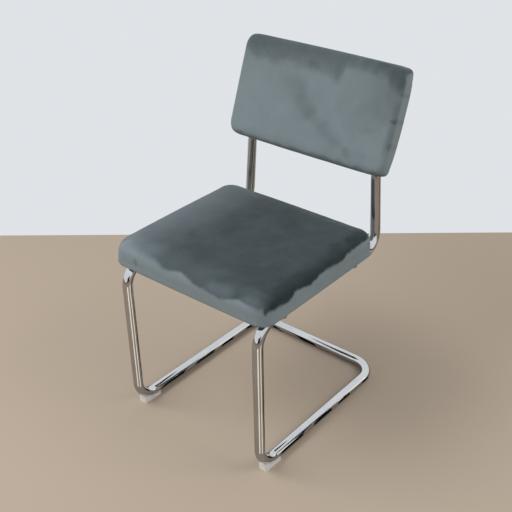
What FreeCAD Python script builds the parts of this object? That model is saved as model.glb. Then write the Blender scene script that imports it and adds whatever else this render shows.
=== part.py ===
import FreeCAD, Part
import math
import os
from FreeCAD import Vector

# Cantilever dining chair: one bent chrome tube, an upholstered seat and an upholstered back board.
# Millimetres, +Z up, the sitter faces -Y, and the origin lies on the floor under the middle of the chair.

# Frame tube
TUBE_OD = 25.0
TUBE_WALL = 2.0
RAIL_INSET = 32.5
FRONT_CORNER_Y = -253.0
LEG_LEAN = 1.3
RAIL_HEIGHT = 412.5
POST_BEHIND_SEAT = 46.0
RUNNER_BEHIND_POST = 39.5
POST_INWARD = 3.5
BACK_BEND_HEIGHT = 603.0
BACK_LEAN = 19.8
POST_TOP_RUN = 190.0
FOOT_BEND_R = 54.0
FLOOR_CORNER_R = 60.0
RAIL_FRONT_BEND_R = 50.0
RAIL_REAR_BEND_R = 48.0
BACK_BEND_R = 60.0

# Cross tubes between the seat rails
CROSS_OD = 19.0
CROSS_WALL = 1.5
CROSS_BEHIND_BOLT = 38.0

# Glides
SHOE_WIDTH = 25.0
SHOE_LENGTH = 57.0
SHOE_FLOOR = 5.0
SHOE_LIP = 4.5
SHOE_FRONT_HEIGHT = 21.0
SHOE_FRONT_RAKE = 1.5
SHOE_SETBACK = 8.0
SHOE_CORNER_R = 4.0
SHOE_PIN_FROM_REAR = 12.0
SHOE_PIN_D = 7.6
SHOE_PIN_HOLE_D = 8.0
PAD_D = 17.0
PAD_FLOOR = 2.0
PAD_RIM = 3.0
PAD_SPACING = 230.0
PAD_PIN_D = 5.6
PAD_PIN_HOLE_D = 6.0
PIN_REACH = 4.0

# End caps in the post tops
CAP_HEAD = 3.5
CAP_RIM = 1.2
CAP_STEM = 14.0
CAP_STEM_WALL = 2.0
CAP_STEM_CHAMFER = 1.0

# Seat cushion
SEAT_WIDTH = 466.0
SEAT_DEPTH = 430.0
SEAT_EDGE_HEIGHT = 58.0
SEAT_CROWN = 5.0
SEAT_CORNER_R = 44.0
SEAT_LOW_CORNER_R = 32.0
SEAT_SIDE_EDGE_R = 18.0
SEAT_FRONT_EDGE_R = 32.0
SEAT_UNDER_EDGE_R = 4.0
SEAT_SIDE_BOW = 1.5
SEAT_AHEAD_OF_CORNER = 22.5
SEAT_PANEL = 12.0
SEAT_PANEL_INSET = 14.0
SEAT_BOLT_FRONT = 104.0
SEAT_BOLT_REAR = 48.0
SEAT_BOLT_LENGTH = 40.0

# Back board
BACK_WIDER_THAN_SEAT = 4.0
BACK_HEIGHT = 258.0
BACK_EDGE_THICKNESS = 43.0
BACK_CROWN = 2.5
BACK_CORNER_R = 31.5
BACK_REAR_CORNER_R = 18.0
BACK_FRONT_EDGE_R = 15.0
BACK_REAR_EDGE_R = 13.0
BACK_SIDE_BOW = 1.0
BACK_CENTRE_UP = 129.0
BACK_PANEL = 12.0
BACK_PANEL_INSET = 16.0
BACK_REAR_FOAM = 4.0
BACK_BOLT_LOW = 78.0
BACK_BOLT_SPACING = 80.0
BACK_BOLT_LENGTH = 42.0

# Cloth, fasteners and clearances
COVER_CLOTH = 1.5
HEM_WIDTH = 46.0
DUST_CLOTH = 0.8
DUST_CLOTH_INSET = 18.0
BOLT_D = 6.0
BOLT_HOLE_D = 6.6
BOLT_HEAD_D = 12.0
BOLT_HEAD_HEIGHT = 3.6
BOLT_HEAD_FLAT_D = 7.0
HEX_ACROSS = 4.0
HEX_DEPTH = 2.2
WASHER_D = 16.0
WASHER_FLOOR = 2.2
WASHER_WRAP = 3.0
TEE_FLANGE_D = 18.0
TEE_FLANGE = 1.2
TEE_BARREL_D = 7.8
TEE_BARREL = 9.0
TEE_BORE_D = 6.2
TEE_HOLE_D = 8.0
SEAT_GAP = 0.3
CLOTH_GAP = 0.3
FIT_GAP = 0.1
WELD_GAP = 0.1

# Shape of a cushion: where the edge arc hands over to the crown, and how fast the crown flattens
EDGE_ARC_END = 70.0
CROWN_POWER = 4.0
CROWN_END = 0.998
LARGEST_CORNER_SHARE = 0.9
SMALLEST_CORNER_SHARE = 0.25

# Steps between a cushion's outlines: degrees round its edges, shares of its side and of its crown
UNDER_EDGE_STEPS = (90, 60, 35, 15)
SIDE_STEPS = (0.2, 0.8)
TOP_EDGE_STEPS = (10, 25, 40, 55)
CROWN_STEPS = (0.0, 0.35, 0.65, 0.85, 0.95, 1.0)

TUBE_R = TUBE_OD / 2
HALF_TRACK = SEAT_WIDTH / 2 - RAIL_INSET
UP = Vector(0, 0, 1)


def rad(angle):
    return math.radians(angle)


# Places that several pieces share
FRONT_AXIS_Z = SHOE_FLOOR + TUBE_R
REAR_AXIS_Z = PAD_FLOOR + TUBE_R
SEAT_FRONT_Y = FRONT_CORNER_Y - SEAT_AHEAD_OF_CORNER
SEAT_REAR_Y = SEAT_FRONT_Y + SEAT_DEPTH
POST_Y = SEAT_REAR_Y + POST_BEHIND_SEAT
REAR_BAR_Y = POST_Y + RUNNER_BEHIND_POST
RUNNER_LENGTH = REAR_BAR_Y - FRONT_CORNER_Y
BACK_WIDTH = SEAT_WIDTH + BACK_WIDER_THAN_SEAT
LEG_TOP_Y = FRONT_CORNER_Y - (RAIL_HEIGHT - FRONT_AXIS_Z) * math.tan(rad(LEG_LEAN))
POST_TOP_X = HALF_TRACK - (BACK_BEND_HEIGHT - RAIL_HEIGHT) * math.tan(rad(POST_INWARD))
BACK_UP = Vector(0, math.sin(rad(BACK_LEAN)), math.cos(rad(BACK_LEAN)))
BACK_REARWARD = Vector(0, math.cos(rad(BACK_LEAN)), -math.sin(rad(BACK_LEAN)))
SEAT_UNDERSIDE_Z = RAIL_HEIGHT + TUBE_R + SEAT_GAP + DUST_CLOTH
SEAT_BOLT_YS = (SEAT_FRONT_Y + SEAT_BOLT_FRONT, SEAT_REAR_Y - SEAT_BOLT_REAR)
BACK_BOLT_UPS = (BACK_BOLT_LOW, BACK_BOLT_LOW + BACK_BOLT_SPACING)


def frame_corners():
    """Corner points and bend radii of the tube's centre line, from the left post top to the right one."""
    back_bend = Vector(POST_TOP_X, POST_Y, BACK_BEND_HEIGHT)
    left = [
        (back_bend + BACK_UP * POST_TOP_RUN, 0.0),
        (back_bend, BACK_BEND_R),
        (Vector(HALF_TRACK, POST_Y, RAIL_HEIGHT), RAIL_REAR_BEND_R),
        (Vector(HALF_TRACK, LEG_TOP_Y, RAIL_HEIGHT), RAIL_FRONT_BEND_R),
        (Vector(HALF_TRACK, FRONT_CORNER_Y, FRONT_AXIS_Z), FOOT_BEND_R),
        (Vector(HALF_TRACK, REAR_BAR_Y, REAR_AXIS_Z), FLOOR_CORNER_R),
    ]
    right = [(Vector(-point.x, point.y, point.z), radius) for point, radius in reversed(left)]
    return left + right


def bent_path(corners):
    """Straight runs joined by tangent arcs through the given corners."""
    edges = []
    start = corners[0][0]
    for index in range(1, len(corners) - 1):
        corner, radius = corners[index]
        arriving = (corner - corners[index - 1][0]).normalize()
        leaving = (corners[index + 1][0] - corner).normalize()
        half_turn = arriving.getAngle(leaving) / 2
        tangent = radius * math.tan(half_turn)
        arc_start = corner - arriving * tangent
        arc_end = corner + leaving * tangent
        inward = (leaving - arriving).normalize()
        arc_middle = corner + inward * (radius / math.cos(half_turn) - radius)
        edges.append(Part.LineSegment(start, arc_start).toShape())
        edges.append(Part.Arc(arc_start, arc_middle, arc_end).toShape())
        start = arc_end
    edges.append(Part.LineSegment(start, corners[-1][0]).toShape())
    return Part.Wire(edges)


def disc_face(centre, axis, radius):
    return Part.Face(Part.Wire(Part.makeCircle(radius, centre, axis)))


def sweep_along(corners, radius):
    """Solid round bar of one radius along the bent path."""
    start = corners[0][0]
    heading = (corners[1][0] - start).normalize()
    return bent_path(corners).makePipe(disc_face(start, heading, radius))


def rod(centre, axis, diameter, length):
    return Part.makeCylinder(diameter / 2, length, centre, axis)


def dome_arc(start_r, start_z, end_r, end_z):
    """Arc from one radius and height to another on a sphere whose centre lies on the Z axis."""
    centre_z = (end_r ** 2 + end_z ** 2 - start_r ** 2 - start_z ** 2) / (2 * (end_z - start_z))
    sphere_r = math.hypot(start_r, start_z - centre_z)
    middle_z = (start_z + end_z) / 2
    middle_r = math.sqrt(sphere_r ** 2 - (middle_z - centre_z) ** 2)
    points = [Vector(r, 0, z) for r, z in ((start_r, start_z), (middle_r, middle_z), (end_r, end_z))]
    return Part.Arc(*points).toShape()


def both_sides(shape):
    """The shape and its mirror image across the chair's middle plane."""
    return [shape, shape.mirror(Vector(0, 0, 0), Vector(1, 0, 0))]


def shoe_pin_y():
    return FRONT_CORNER_Y + SHOE_SETBACK + SHOE_LENGTH - SHOE_PIN_FROM_REAR


def runner_axis_z(y):
    """Height of the runner's centre line at a distance back from the front corner."""
    share = (y - FRONT_CORNER_Y) / RUNNER_LENGTH
    return FRONT_AXIS_Z + (REAR_AXIS_Z - FRONT_AXIS_Z) * share


def frame_holes():
    """Rods that cut every hole in the frame tube."""
    rods = []
    for y in SEAT_BOLT_YS:
        below = Vector(HALF_TRACK, y, RAIL_HEIGHT - TUBE_OD)
        rods += both_sides(rod(below, UP, BOLT_HOLE_D, 2 * TUBE_OD))
    for up in BACK_BOLT_UPS:
        behind = on_post(up) + BACK_REARWARD * TUBE_OD
        rods += both_sides(rod(behind, -BACK_REARWARD, BOLT_HOLE_D, 2 * TUBE_OD))
    shoe_hole = Vector(HALF_TRACK, shoe_pin_y(), 0)
    rods += both_sides(rod(shoe_hole, UP, SHOE_PIN_HOLE_D, runner_axis_z(shoe_pin_y())))
    pad_hole = Vector(PAD_SPACING / 2, REAR_BAR_Y, 0)
    rods += both_sides(rod(pad_hole, UP, PAD_PIN_HOLE_D, REAR_AXIS_Z))
    return rods


def on_post(up):
    """Point on the post's centre line, level with a place measured up from the back board's lower edge."""
    back_bend = Vector(POST_TOP_X, POST_Y, BACK_BEND_HEIGHT)
    return back_bend + BACK_UP * (BACK_CENTRE_UP - BACK_HEIGHT / 2 + up)


def frame_tube():
    corners = frame_corners()
    solid_bar = sweep_along(corners, TUBE_R)
    bore = sweep_along(corners, TUBE_R - TUBE_WALL)
    return solid_bar.cut(bore).cut(frame_holes())


def cross_tube(y):
    """Thin tube between the seat rails, with its ends cut to lie on their round sides."""
    start = Vector(-HALF_TRACK, y, RAIL_HEIGHT)
    across = Vector(1, 0, 0)
    length = 2 * HALF_TRACK
    tube = rod(start, across, CROSS_OD, length).cut(rod(start, across, CROSS_OD - 2 * CROSS_WALL, length))
    rail_start = Vector(HALF_TRACK, y - CROSS_OD, RAIL_HEIGHT)
    rail = rod(rail_start, Vector(0, 1, 0), TUBE_OD + 2 * WELD_GAP, 2 * CROSS_OD)
    return tube.cut(both_sides(rail))


def post_cap():
    """Domed plug for the left post's open top end."""
    bore_r = TUBE_R - TUBE_WALL - FIT_GAP
    inner_r = bore_r - CAP_STEM_WALL
    tip_r = bore_r - CAP_STEM_CHAMFER
    outline = [
        Vector(TUBE_R, 0, CAP_RIM),
        Vector(TUBE_R, 0, 0),
        Vector(bore_r, 0, 0),
        Vector(bore_r, 0, CAP_STEM_CHAMFER - CAP_STEM),
        Vector(tip_r, 0, -CAP_STEM),
        Vector(inner_r, 0, -CAP_STEM),
        Vector(inner_r, 0, 0),
        Vector(0, 0, 0),
        Vector(0, 0, CAP_HEAD),
    ]
    edges = [Part.LineSegment(start, end).toShape() for start, end in zip(outline, outline[1:])]
    edges.append(dome_arc(0, CAP_HEAD, TUBE_R, CAP_RIM))
    profile = Part.Wire(edges)
    cap = Part.Face(profile).revolve(Vector(0, 0, 0), UP, 360)
    turn = FreeCAD.Rotation(UP, BACK_UP)
    cap.Placement = FreeCAD.Placement(frame_corners()[0][0], turn)
    return cap


def foot_bend_centre():
    """Centre of the arc in which the left leg turns into its runner."""
    top, corner, rear = [frame_corners()[index][0] for index in (3, 4, 5)]
    arriving = (corner - top).normalize()
    leaving = (rear - corner).normalize()
    inward = (leaving - arriving).normalize()
    return corner + inward * (FOOT_BEND_R / math.cos(arriving.getAngle(leaving) / 2))


def front_shoe():
    """Wedge that clips under the left foot bend, flat below and hollowed above to the tube."""
    front = FRONT_CORNER_Y + SHOE_SETBACK
    rear = front + SHOE_LENGTH
    centre = foot_bend_centre()
    lip_r = FOOT_BEND_R + TUBE_R - SHOE_LIP
    lip_low = centre.z - lip_r
    lip_y = centre.y - math.sqrt(lip_r ** 2 - (centre.z - SHOE_FRONT_HEIGHT) ** 2)
    middle_angle = (math.pi / 2 + math.acos((centre.y - lip_y) / lip_r)) / 2
    lip_middle = centre - Vector(centre.x, math.cos(middle_angle) * lip_r, math.sin(middle_angle) * lip_r)
    rear_lip = Vector(0, rear, lip_low)
    lip_start = Vector(0, centre.y, lip_low)
    lip_end = Vector(0, lip_y, SHOE_FRONT_HEIGHT)
    brow = Vector(0, front + SHOE_FRONT_RAKE, SHOE_FRONT_HEIGHT)
    toe = Vector(0, front, 0)
    heel = Vector(0, rear, 0)
    side_view = Part.Wire([
        Part.LineSegment(toe, heel).toShape(),
        Part.LineSegment(heel, rear_lip).toShape(),
        Part.LineSegment(rear_lip, lip_start).toShape(),
        Part.Arc(lip_start, lip_middle, lip_end).toShape(),
        Part.LineSegment(lip_end, brow).toShape(),
        Part.LineSegment(brow, toe).toShape(),
    ])
    slab = Part.Face(side_view).extrude(Vector(SHOE_WIDTH, 0, 0))
    slab.translate(Vector(HALF_TRACK - SHOE_WIDTH / 2, 0, 0))
    plan = rounded_outline(SHOE_WIDTH, SHOE_LENGTH, SHOE_CORNER_R, 0.0)
    plan.translate(Vector(HALF_TRACK, front, 0))
    block = slab.common(Part.Face(plan).extrude(UP * SHOE_FRONT_HEIGHT))
    tube = sweep_along(frame_corners(), TUBE_R + FIT_GAP)
    pin_low = SHOE_FLOOR / 2
    pin_top = runner_axis_z(shoe_pin_y()) - TUBE_R + TUBE_WALL + PIN_REACH
    pin = rod(Vector(HALF_TRACK, shoe_pin_y(), pin_low), UP, SHOE_PIN_D, pin_top - pin_low)
    return block.cut(tube).fuse(pin).removeSplitter()


def rear_pad():
    """Small clear foot under the left half of the rear floor bar."""
    base = Vector(PAD_SPACING / 2, REAR_BAR_Y, 0)
    disc = rod(base, UP, PAD_D, PAD_FLOOR + PAD_RIM)
    tube_start = base + Vector(-PAD_D, 0, REAR_AXIS_Z)
    disc = disc.cut(rod(tube_start, Vector(1, 0, 0), TUBE_OD + 2 * FIT_GAP, 2 * PAD_D))
    pin_length = PAD_FLOOR / 2 + TUBE_WALL + PIN_REACH
    pin = rod(base + UP * (PAD_FLOOR / 2), UP, PAD_PIN_D, pin_length)
    return disc.fuse(pin).removeSplitter()


def rounded_outline(width, depth, corner_r, bow, side_in=0.0, front_in=0.0, rear_in=0.0, height=0.0):
    """Closed outline with rounded corners and slightly bowed sides, front edge on y = 0."""
    half = width / 2 - side_in
    front = front_in
    rear = depth - rear_in
    limit = min(half, (rear - front) / 2) * LARGEST_CORNER_SHARE
    radius = min(max(corner_r - side_in, corner_r * SMALLEST_CORNER_SHARE), limit)
    diagonal = radius * (1 - math.sqrt(0.5))
    middle = (front + rear) / 2
    inner_x = half - radius

    def side(start, through, end, is_corner=False):
        if is_corner or bow > 0:
            return Part.Arc(start, through, end).toShape()
        return Part.LineSegment(start, end).toShape()

    def at(x, y):
        return Vector(x, y, height)

    return Part.Wire([
        side(at(-inner_x, front), at(0, front - bow), at(inner_x, front)),
        side(at(inner_x, front), at(half - diagonal, front + diagonal), at(half, front + radius), True),
        side(at(half, front + radius), at(half + bow, middle), at(half, rear - radius)),
        side(at(half, rear - radius), at(half - diagonal, rear - diagonal), at(inner_x, rear), True),
        side(at(inner_x, rear), at(0, rear + bow), at(-inner_x, rear)),
        side(at(-inner_x, rear), at(diagonal - half, rear - diagonal), at(-half, rear - radius), True),
        side(at(-half, rear - radius), at(-half - bow, middle), at(-half, front + radius)),
        side(at(-half, front + radius), at(diagonal - half, front + diagonal), at(-inner_x, front), True),
    ])


def edge_inset(height, cushion, edge_r):
    """How far a cushion's surface lies inside its widest outline at one height."""
    total, crown, under_r = cushion["total"], cushion["crown"], cushion["under_r"]
    if height < under_r:
        return under_r - math.sqrt(under_r ** 2 - (under_r - height) ** 2)
    arc_inset = edge_r * (1 - math.cos(rad(EDGE_ARC_END)))
    arc_top = total - edge_r * (1 - math.sin(rad(EDGE_ARC_END)))
    if height <= total - edge_r:
        return 0.0
    if height <= arc_top:
        rise = height - (total - edge_r)
        return edge_r - math.sqrt(edge_r ** 2 - rise ** 2)
    crown_rise = total + crown - arc_top
    crown_run = CROWN_POWER * crown_rise / math.tan(rad(90 - EDGE_ARC_END))
    share = min((height - arc_top) / crown_rise, CROWN_END)
    return arc_inset + crown_run * (1 - (1 - share) ** (1 / CROWN_POWER))


def section_heights(cushion):
    """Heights of the loft's sections: close together round the edges, far apart on the straight side."""
    total, crown = cushion["total"], cushion["crown"]
    edge_r, under_r = cushion["front_r"], cushion["under_r"]
    low = [under_r * (1 - math.sin(rad(angle))) for angle in UNDER_EDGE_STEPS]
    arc_top = total - edge_r * (1 - math.sin(rad(EDGE_ARC_END)))
    start = total - edge_r
    side = [under_r + (start - under_r) * share for share in SIDE_STEPS]
    round_edge = [start + edge_r * math.sin(rad(angle)) for angle in TOP_EDGE_STEPS]
    dome = [arc_top + (total + crown - arc_top) * share for share in CROWN_STEPS]
    return low + side + round_edge + dome


def corner_radius(height, cushion):
    """Corner radius at one height: tight over the panel's corners, rounder where the foam gives."""
    share = min(height / cushion["total"], 1.0)
    return cushion["low_corner_r"] + (cushion["corner_r"] - cushion["low_corner_r"]) * share


def cushion_body(cushion, skin):
    """Crowned pad with rounded edges, lofted from outlines, and drawn in all round by a skin."""
    sections = []
    full = cushion["total"] + cushion["crown"]
    for height in section_heights(cushion):
        side_in = edge_inset(height, cushion, cushion["side_r"])
        front_in = edge_inset(height, cushion, cushion["front_r"])
        level = skin + height * (full - 2 * skin) / full
        sections.append(rounded_outline(
            cushion["width"], cushion["depth"], corner_radius(height, cushion), cushion["bow"],
            side_in + skin, front_in + skin, side_in + skin, level,
        ))
    return Part.makeLoft(sections, True, True)


SEAT = {
    "width": SEAT_WIDTH, "depth": SEAT_DEPTH, "total": SEAT_EDGE_HEIGHT, "crown": SEAT_CROWN,
    "corner_r": SEAT_CORNER_R, "low_corner_r": SEAT_LOW_CORNER_R, "side_r": SEAT_SIDE_EDGE_R,
    "front_r": SEAT_FRONT_EDGE_R,
    "under_r": SEAT_UNDER_EDGE_R, "bow": SEAT_SIDE_BOW,
}
BACK = {
    "width": BACK_WIDTH, "depth": BACK_HEIGHT, "total": BACK_EDGE_THICKNESS, "crown": BACK_CROWN,
    "corner_r": BACK_CORNER_R, "low_corner_r": BACK_REAR_CORNER_R, "side_r": BACK_FRONT_EDGE_R,
    "front_r": BACK_FRONT_EDGE_R,
    "under_r": BACK_REAR_EDGE_R, "bow": BACK_SIDE_BOW,
}


def flat_prism(cushion, inset, low, high):
    """Flat rounded slab that follows a cushion's outline, set in from it."""
    outline = rounded_outline(
        cushion["width"], cushion["depth"], cushion["corner_r"], 0.0, inset, inset, inset, low)
    return Part.Face(outline).extrude(UP * (high - low))


def place_seat(shape):
    shape.translate(Vector(0, SEAT_FRONT_Y, SEAT_UNDERSIDE_Z))
    return shape


def place_back(shape):
    """Stand a piece that was built lying on its rear face up against the posts."""
    back_bend = Vector(0, POST_Y, BACK_BEND_HEIGHT)
    lower_edge = back_bend + BACK_UP * (BACK_CENTRE_UP - BACK_HEIGHT / 2)
    rear_face = lower_edge - BACK_REARWARD * (TUBE_R + SEAT_GAP)
    lean = FreeCAD.Placement(rear_face, FreeCAD.Rotation(Vector(1, 0, 0), 90 - BACK_LEAN))
    shape.Placement = lean.multiply(shape.Placement)
    return shape


def seat_bolt_places():
    """Bolt centres in the seat cushion's own frame."""
    return [Vector(side * HALF_TRACK, y - SEAT_FRONT_Y, 0) for side in (1, -1) for y in SEAT_BOLT_YS]


def back_bolt_places():
    """Bolt centres in the back board's own frame."""
    return [Vector(side * POST_TOP_X, up, 0) for side in (1, -1) for up in BACK_BOLT_UPS]


def holes_at(places, diameter, low, high):
    return [rod(place + UP * low, UP, diameter, high - low) for place in places]


def group(solids):
    return Part.makeCompound(solids)


def tee_nut(place, panel_top):
    """Flanged nut whose barrel hangs down into the panel from its upper face."""
    flange = rod(place + UP * panel_top, UP, TEE_FLANGE_D, TEE_FLANGE)
    barrel = rod(place + UP * (panel_top - TEE_BARREL), UP, TEE_BARREL_D, TEE_BARREL)
    bore = rod(place + UP * (panel_top - TEE_BARREL), UP, TEE_BORE_D, TEE_BARREL + TEE_FLANGE)
    return flange.fuse(barrel).cut(bore).removeSplitter()


def bolt(place, head_under, length):
    """Round headed bolt pointing up, with a six sided socket in its head."""
    base = place + UP * head_under
    shank = rod(base, UP, BOLT_D, length)
    edge = Vector(BOLT_HEAD_D / 2, 0, 0)
    crown = Vector(BOLT_HEAD_FLAT_D / 2, 0, -BOLT_HEAD_HEIGHT)
    profile = Part.Wire([
        Part.LineSegment(Vector(0, 0, 0), edge).toShape(),
        dome_arc(edge.x, edge.z, crown.x, crown.z),
        Part.LineSegment(crown, Vector(0, 0, -BOLT_HEAD_HEIGHT)).toShape(),
        Part.LineSegment(Vector(0, 0, -BOLT_HEAD_HEIGHT), Vector(0, 0, 0)).toShape(),
    ])
    head = Part.Face(profile).revolve(Vector(0, 0, 0), UP, 360)
    hex_r = HEX_ACROSS / math.sqrt(3)
    corners = [
        Vector(hex_r * math.cos(rad(60 * turn)), hex_r * math.sin(rad(60 * turn)), -BOLT_HEAD_HEIGHT)
        for turn in range(7)
    ]
    socket = Part.Face(Part.makePolygon(corners)).extrude(UP * HEX_DEPTH)
    head = head.cut(socket)
    head.translate(base)
    return head.fuse(shank).removeSplitter()


def saddle_washer(place, axis_depth, along):
    """Round washer under a tube, hollowed to the tube's side and flat below."""
    low = axis_depth - TUBE_R - WASHER_FLOOR
    disc = rod(place + UP * low, UP, WASHER_D, WASHER_FLOOR + WASHER_WRAP)
    hole = rod(place + UP * low, UP, BOLT_HOLE_D, WASHER_FLOOR + WASHER_WRAP)
    tube_start = place + UP * axis_depth - along * WASHER_D
    tube = rod(tube_start, along, TUBE_OD + 2 * FIT_GAP, 2 * WASHER_D)
    return disc.cut([hole, tube])


SEAT_PANEL_LOW = COVER_CLOTH + FIT_GAP
SEAT_PANEL_TOP = SEAT_PANEL_LOW + SEAT_PANEL
SEAT_TUBE_AXIS = -(DUST_CLOTH + SEAT_GAP + TUBE_R)
SEAT_HEAD_UNDER = SEAT_TUBE_AXIS - TUBE_R - WASHER_FLOOR
BACK_PANEL_LOW = COVER_CLOTH + CLOTH_GAP + BACK_REAR_FOAM + FIT_GAP
BACK_PANEL_TOP = BACK_PANEL_LOW + BACK_PANEL
BACK_TUBE_AXIS = -(SEAT_GAP + TUBE_R)
BACK_HEAD_UNDER = BACK_TUBE_AXIS - TUBE_R - WASHER_FLOOR


def seat_panel():
    panel = flat_prism(SEAT, SEAT_PANEL_INSET, SEAT_PANEL_LOW, SEAT_PANEL_TOP)
    return place_seat(panel.cut(holes_at(seat_bolt_places(), TEE_HOLE_D, 0, SEAT_PANEL_TOP + 1)))


def seat_foam():
    """Foam pad over the panel, turned down round its edges, with room for the nut flanges."""
    body = cushion_body(SEAT, COVER_CLOTH + CLOTH_GAP)
    panel_space = flat_prism(SEAT, SEAT_PANEL_INSET - CLOTH_GAP, 0, SEAT_PANEL_TOP + FIT_GAP)
    flange_d = TEE_FLANGE_D + 2 * CLOTH_GAP
    flange_space = holes_at(seat_bolt_places(), flange_d, 0, SEAT_PANEL_TOP + TEE_FLANGE + CLOTH_GAP)
    return place_seat(body.cut([panel_space] + flange_space))


def seat_cover():
    """Velvet cover drawn over the foam and turned under the panel as a hem."""
    outer = cushion_body(SEAT, 0.0)
    inner = cushion_body(SEAT, COVER_CLOTH)
    mouth = flat_prism(SEAT, HEM_WIDTH, -1, COVER_CLOTH + 1)
    holes = holes_at(seat_bolt_places(), BOLT_HOLE_D, -1, COVER_CLOTH + 1)
    return place_seat(outer.cut([inner, mouth] + holes))


def seat_dust_cover():
    """Thin black cloth that closes the underside."""
    cloth = flat_prism(SEAT, DUST_CLOTH_INSET, -DUST_CLOTH, 0)
    return place_seat(cloth.cut(holes_at(seat_bolt_places(), BOLT_HOLE_D, -DUST_CLOTH - 1, 1)))


def seat_tee_nuts():
    return place_seat(group([tee_nut(place, SEAT_PANEL_TOP) for place in seat_bolt_places()]))


def seat_bolts():
    bolts = [bolt(place, SEAT_HEAD_UNDER, SEAT_BOLT_LENGTH) for place in seat_bolt_places()]
    return place_seat(group(bolts))


def seat_washers():
    along = Vector(0, 1, 0)
    return place_seat(group([saddle_washer(place, SEAT_TUBE_AXIS, along) for place in seat_bolt_places()]))


def back_panel():
    panel = flat_prism(BACK, BACK_PANEL_INSET, BACK_PANEL_LOW, BACK_PANEL_TOP)
    return place_back(panel.cut(holes_at(back_bolt_places(), TEE_HOLE_D, 0, BACK_PANEL_TOP + 1)))


def back_front_foam():
    """Foam pad on the board's front, turned round its edges."""
    body = cushion_body(BACK, COVER_CLOTH + CLOTH_GAP)
    keep_low = BACK_PANEL_LOW - FIT_GAP / 2
    below = flat_prism(BACK, -2 * BACK_SIDE_BOW, -1, keep_low)
    panel_space = flat_prism(BACK, BACK_PANEL_INSET - CLOTH_GAP, 0, BACK_PANEL_TOP + FIT_GAP)
    flange_d = TEE_FLANGE_D + 2 * CLOTH_GAP
    flange_space = holes_at(back_bolt_places(), flange_d, 0, BACK_PANEL_TOP + TEE_FLANGE + CLOTH_GAP)
    return place_back(body.cut([below, panel_space] + flange_space))


def back_rear_foam():
    """Thin foam sheet between the board and the cover's rear face."""
    sheet = cushion_body(BACK, COVER_CLOTH + CLOTH_GAP)
    low = COVER_CLOTH + CLOTH_GAP
    slab = flat_prism(BACK, -2 * BACK_SIDE_BOW, low - 1, low + BACK_REAR_FOAM - FIT_GAP / 2)
    holes = holes_at(back_bolt_places(), BOLT_HOLE_D, 0, BACK_PANEL_LOW + 1)
    return place_back(sheet.common(slab).cut(holes))


def back_cover():
    """Velvet cover, closed all round the board."""
    outer = cushion_body(BACK, 0.0)
    inner = cushion_body(BACK, COVER_CLOTH)
    holes = holes_at(back_bolt_places(), BOLT_HOLE_D, -1, COVER_CLOTH + 1)
    return place_back(outer.cut([inner] + holes))


def back_tee_nuts():
    return place_back(group([tee_nut(place, BACK_PANEL_TOP) for place in back_bolt_places()]))


def back_bolts():
    bolts = [bolt(place, BACK_HEAD_UNDER, BACK_BOLT_LENGTH) for place in back_bolt_places()]
    return place_back(group(bolts))


def back_washers():
    along = Vector(0, 1, 0)
    return place_back(group([saddle_washer(place, BACK_TUBE_AXIS, along) for place in back_bolt_places()]))


def build_parts():
    parts = {
        "frame_tube": frame_tube(),
        "front_cross_tube": cross_tube(SEAT_BOLT_YS[0] + CROSS_BEHIND_BOLT),
        "rear_cross_tube": cross_tube(SEAT_BOLT_YS[1] - CROSS_BEHIND_BOLT),
        "seat_panel": seat_panel(),
        "seat_foam": seat_foam(),
        "seat_cover": seat_cover(),
        "seat_dust_cover": seat_dust_cover(),
        "seat_tee_nuts": seat_tee_nuts(),
        "seat_bolts": seat_bolts(),
        "seat_washers": seat_washers(),
        "back_panel": back_panel(),
        "back_front_foam": back_front_foam(),
        "back_rear_foam": back_rear_foam(),
        "back_cover": back_cover(),
        "back_tee_nuts": back_tee_nuts(),
        "back_bolts": back_bolts(),
        "back_washers": back_washers(),
    }
    for name, shape in (("post_cap", post_cap()), ("front_shoe", front_shoe()), ("rear_pad", rear_pad())):
        left, right = both_sides(shape)
        parts[name + "_left"] = left
        parts[name + "_right"] = right
    return parts


def main():
    os.makedirs("parts", exist_ok=True)
    for name, shape in build_parts().items():
        shape.exportStep("parts/" + name + ".step")
        print(name, "solids", len(shape.Solids), "valid", shape.isValid(), "volume", round(shape.Volume))


main()
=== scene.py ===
import math

import bmesh
import bpy
from bpy.props import FloatProperty, FloatVectorProperty, PointerProperty
from mathutils import Matrix, Vector, noise


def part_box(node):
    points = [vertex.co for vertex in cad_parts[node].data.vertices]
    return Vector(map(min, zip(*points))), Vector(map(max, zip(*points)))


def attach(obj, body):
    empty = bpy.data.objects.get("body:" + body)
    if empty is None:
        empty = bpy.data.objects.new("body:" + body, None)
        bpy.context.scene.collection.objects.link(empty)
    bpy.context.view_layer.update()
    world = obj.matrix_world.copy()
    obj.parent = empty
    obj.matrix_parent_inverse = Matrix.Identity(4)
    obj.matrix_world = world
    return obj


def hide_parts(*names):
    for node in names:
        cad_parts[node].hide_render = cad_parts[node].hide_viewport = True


# Looks of a cantilever dining chair: velvet seat and back board on a bent chrome tube. Metres, +Z up; the sitter
# faces -Y and has +X to the left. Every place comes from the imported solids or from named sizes.

bl_info = {
    "name": "Cantilever Chair",
    "version": (1, 0, 0),
    "blender": (4, 5, 0),
    "location": "3D View > Sidebar > Chair",
    "description": "Dresses the chair's solids with velvet cushions, chrome, glides and a studio floor",
    "category": "Add Mesh",
}

MM = 0.001
ROOT = "root"

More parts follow.
